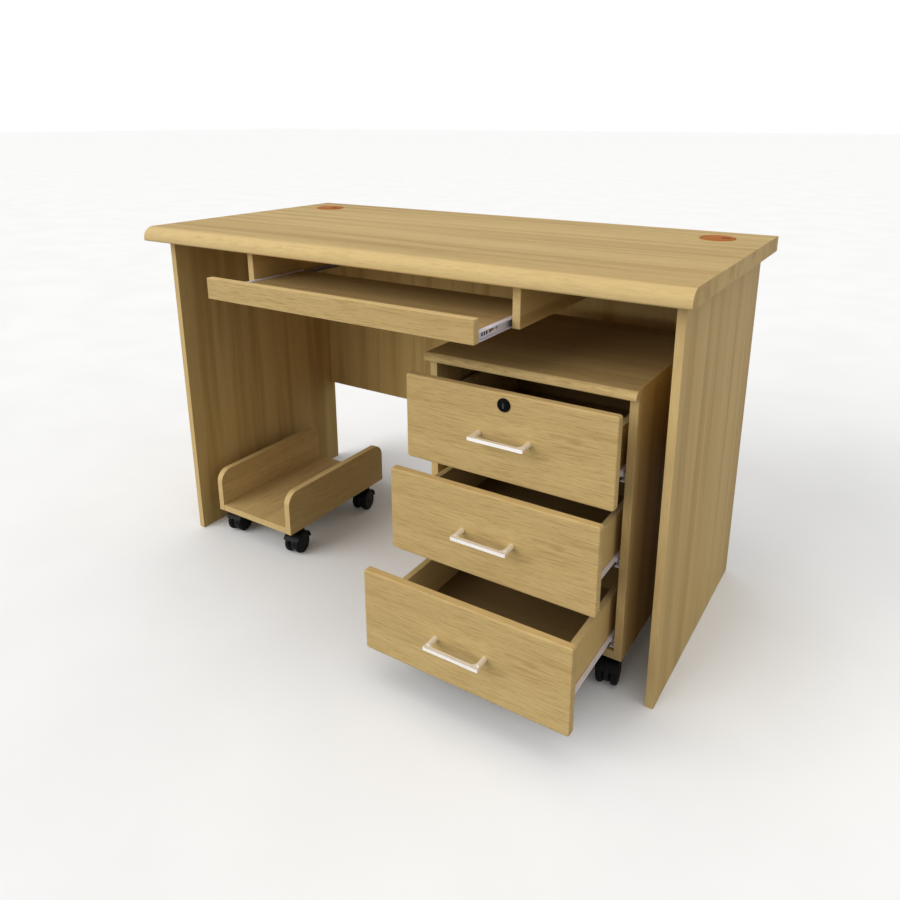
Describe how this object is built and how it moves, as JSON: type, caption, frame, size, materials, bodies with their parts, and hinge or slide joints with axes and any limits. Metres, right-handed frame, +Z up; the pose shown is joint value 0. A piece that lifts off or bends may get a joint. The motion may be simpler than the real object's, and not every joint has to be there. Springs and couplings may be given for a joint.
{
  "type": "computer desk",
  "caption": "Oak-laminate computer desk with a pull-out keyboard tray, a rolling drawer pedestal with a lock, and a low rolling trolley for the computer's case.",
  "frame": {"origin": "on the floor, below the middle of the box round the desk as stored, with its tray and drawers partly open", "axes": "+Z up, +X to the sitter's right along the desktop's length, the sitter on the -Y side"},
  "size_m": [1.2, 0.787, 0.752],
  "materials": {
    "desk_top": "light oak laminate, satin",
    "desk_boards": "light oak laminate, satin",
    "fronts": "light oak laminate, satin, grain across",
    "drawer_boards": "light oak laminate, satin",
    "drawer_floor": "thin fibreboard with an oak print",
    "dowel_wood": "plain beech",
    "grommet": "amber brown plastic",
    "slides": "pale grey lacquer",
    "cage": "bright zinc",
    "handles": "satin silver",
    "lock_black": "black satin",
    "caster_black": "black nylon"
  },
  "bodies": {
    "desk": {"desktop": "desk_top", "desk_side_left": "desk_boards", "desk_side_right": "desk_boards", "modesty_panel": "desk_boards", "partition_left": "desk_boards", "partition_right": "desk_boards", "grommet_rings": "grommet", "tray_rails": "slides", "desk_dowels": "dowel_wood"},
    "lid_left": {"grommet_lid_left": "grommet"},
    "lid_right": {"grommet_lid_right": "grommet"},
    "tray": {"tray_board": "fronts", "tray_fascia": "fronts", "tray_runners": "slides"},
    "tray_cages": {"tray_ball_cages": "cage"},
    "pedestal": {"ped_top": "fronts", "ped_side_left": "desk_boards", "ped_side_right": "desk_boards", "ped_bottom": "desk_boards", "ped_back": "desk_boards", "ped_rails": "slides"},
    "drawer_1": {"drawer_1_front": "fronts", "drawer_1_sides": "drawer_boards", "drawer_1_back": "drawer_boards", "drawer_1_bottom": "drawer_floor", "drawer_1_runners": "slides", "drawer_1_handle": "handles", "lock_housing": "lock_black"},
    "drawer_2": {"drawer_2_front": "fronts", "drawer_2_sides": "drawer_boards", "drawer_2_back": "drawer_boards", "drawer_2_bottom": "drawer_floor", "drawer_2_runners": "slides", "drawer_2_handle": "handles"},
    "drawer_3": {"drawer_3_front": "fronts", "drawer_3_sides": "drawer_boards", "drawer_3_back": "drawer_boards", "drawer_3_bottom": "drawer_floor", "drawer_3_runners": "slides", "drawer_3_handle": "handles"},
    "lock": {"lock_plug": "lock_black"},
    "cart": {"cart_base": "desk_boards", "cart_side_left": "desk_boards", "cart_side_right": "desk_boards"},
    "ped_swivel_fl": {"ped_fork_fl": "caster_black"},
    "ped_roll_fl": {"ped_wheels_fl": "caster_black"},
    "ped_swivel_fr": {"ped_fork_fr": "caster_black"},
    "ped_roll_fr": {"ped_wheels_fr": "caster_black"},
    "ped_swivel_bl": {"ped_fork_bl": "caster_black"},
    "ped_roll_bl": {"ped_wheels_bl": "caster_black"},
    "ped_swivel_br": {"ped_fork_br": "caster_black"},
    "ped_roll_br": {"ped_wheels_br": "caster_black"},
    "cart_swivel_fl": {"cart_fork_fl": "caster_black"},
    "cart_roll_fl": {"cart_wheels_fl": "caster_black"},
    "cart_swivel_fr": {"cart_fork_fr": "caster_black"},
    "cart_roll_fr": {"cart_wheels_fr": "caster_black"},
    "cart_swivel_bl": {"cart_fork_bl": "caster_black"},
    "cart_roll_bl": {"cart_wheels_bl": "caster_black"},
    "cart_swivel_br": {"cart_fork_br": "caster_black"},
    "cart_roll_br": {"cart_wheels_br": "caster_black"}
  },
  "joints": [
    {"name": "tray_slide", "type": "slide", "parent": "desk", "child": "tray", "axis": [0, -1, 0], "range_m": [-0.12, 0.06]},
    {"name": "tray_cage_slide", "type": "slide", "parent": "desk", "child": "tray_cages", "axis": [0, -1, 0], "range_m": [-0.06, 0.03]},
    {"name": "lid_left_turn", "type": "hinge", "parent": "desk", "child": "lid_left", "pos_m": [-0.504, 0.2945, 0.75], "axis": [0, 0, 1], "continuous": true},
    {"name": "lid_right_turn", "type": "hinge", "parent": "desk", "child": "lid_right", "pos_m": [0.504, 0.2945, 0.75], "axis": [0, 0, 1], "continuous": true},
    {"name": "pedestal_roll", "type": "slide", "parent": "desk", "child": "pedestal", "axis": [0, -1, 0], "range_m": [-0.1, 0.6]},
    {"name": "cart_roll", "type": "slide", "parent": "desk", "child": "cart", "axis": [0, -1, 0], "range_m": [-0.12, 0.5]},
    {"name": "drawer_1_slide", "type": "slide", "parent": "pedestal", "child": "drawer_1", "axis": [0, -1, 0], "range_m": [-0.063, 0.202]},
    {"name": "drawer_2_slide", "type": "slide", "parent": "pedestal", "child": "drawer_2", "axis": [0, -1, 0], "range_m": [-0.115, 0.15]},
    {"name": "drawer_3_slide", "type": "slide", "parent": "pedestal", "child": "drawer_3", "axis": [0, -1, 0], "range_m": [-0.198, 0.067]},
    {"name": "lock_turn", "type": "hinge", "parent": "drawer_1", "child": "lock", "pos_m": [0.316, -0.2265, 0.529], "axis": [0, 1, 0], "range_deg": [0, 90]},
    {"name": "ped_swivel_fl_turn", "type": "hinge", "parent": "pedestal", "child": "ped_swivel_fl", "pos_m": [0.148, -0.1125, 0.063], "axis": [0, 0, 1], "continuous": true},
    {"name": "ped_wheels_fl_spin", "type": "hinge", "parent": "ped_swivel_fl", "child": "ped_roll_fl", "pos_m": [0.15113, -0.13023, 0.025], "axis": [0.9848, 0.1736, 0], "continuous": true},
    {"name": "ped_swivel_fr_turn", "type": "hinge", "parent": "pedestal", "child": "ped_swivel_fr", "pos_m": [0.484, -0.1125, 0.063], "axis": [0, 0, 1], "continuous": true},
    {"name": "ped_wheels_fr_spin", "type": "hinge", "parent": "ped_swivel_fr", "child": "ped_roll_fr", "pos_m": [0.48713, -0.13023, 0.025], "axis": [0.9848, 0.1736, 0], "continuous": true},
    {"name": "ped_swivel_bl_turn", "type": "hinge", "parent": "pedestal", "child": "ped_swivel_bl", "pos_m": [0.148, 0.1785, 0.063], "axis": [0, 0, 1], "continuous": true},
    {"name": "ped_wheels_bl_spin", "type": "hinge", "parent": "ped_swivel_bl", "child": "ped_roll_bl", "pos_m": [0.15113, 0.16077, 0.025], "axis": [0.9848, 0.1736, 0], "continuous": true},
    {"name": "ped_swivel_br_turn", "type": "hinge", "parent": "pedestal", "child": "ped_swivel_br", "pos_m": [0.484, 0.1785, 0.063], "axis": [0, 0, 1], "continuous": true},
    {"name": "ped_wheels_br_spin", "type": "hinge", "parent": "ped_swivel_br", "child": "ped_roll_br", "pos_m": [0.48713, 0.16077, 0.025], "axis": [0.9848, 0.1736, 0], "continuous": true},
    {"name": "cart_swivel_fl_turn", "type": "hinge", "parent": "cart", "child": "cart_swivel_fl", "pos_m": [-0.4885, -0.0915, 0.063], "axis": [0, 0, 1], "continuous": true},
    {"name": "cart_wheels_fl_spin", "type": "hinge", "parent": "cart_swivel_fl", "child": "cart_roll_fl", "pos_m": [-0.48537, -0.10923, 0.025], "axis": [0.9848, 0.1736, 0], "continuous": true},
    {"name": "cart_swivel_fr_turn", "type": "hinge", "parent": "cart", "child": "cart_swivel_fr", "pos_m": [-0.2975, -0.0915, 0.063], "axis": [0, 0, 1], "continuous": true},
    {"name": "cart_wheels_fr_spin", "type": "hinge", "parent": "cart_swivel_fr", "child": "cart_roll_fr", "pos_m": [-0.29437, -0.10923, 0.025], "axis": [0.9848, 0.1736, 0], "continuous": true},
    {"name": "cart_swivel_bl_turn", "type": "hinge", "parent": "cart", "child": "cart_swivel_bl", "pos_m": [-0.4885, 0.1525, 0.063], "axis": [0, 0, 1], "continuous": true},
    {"name": "cart_wheels_bl_spin", "type": "hinge", "parent": "cart_swivel_bl", "child": "cart_roll_bl", "pos_m": [-0.48537, 0.13477, 0.025], "axis": [0.9848, 0.1736, 0], "continuous": true},
    {"name": "cart_swivel_br_turn", "type": "hinge", "parent": "cart", "child": "cart_swivel_br", "pos_m": [-0.2975, 0.1525, 0.063], "axis": [0, 0, 1], "continuous": true},
    {"name": "cart_wheels_br_spin", "type": "hinge", "parent": "cart_swivel_br", "child": "cart_roll_br", "pos_m": [-0.29437, 0.13477, 0.025], "axis": [0.9848, 0.1736, 0], "continuous": true}
  ],
  "couplings": [
    {"joint": "tray_cage_slide", "follows": "tray_slide", "ratio": 0.5}
  ]
}
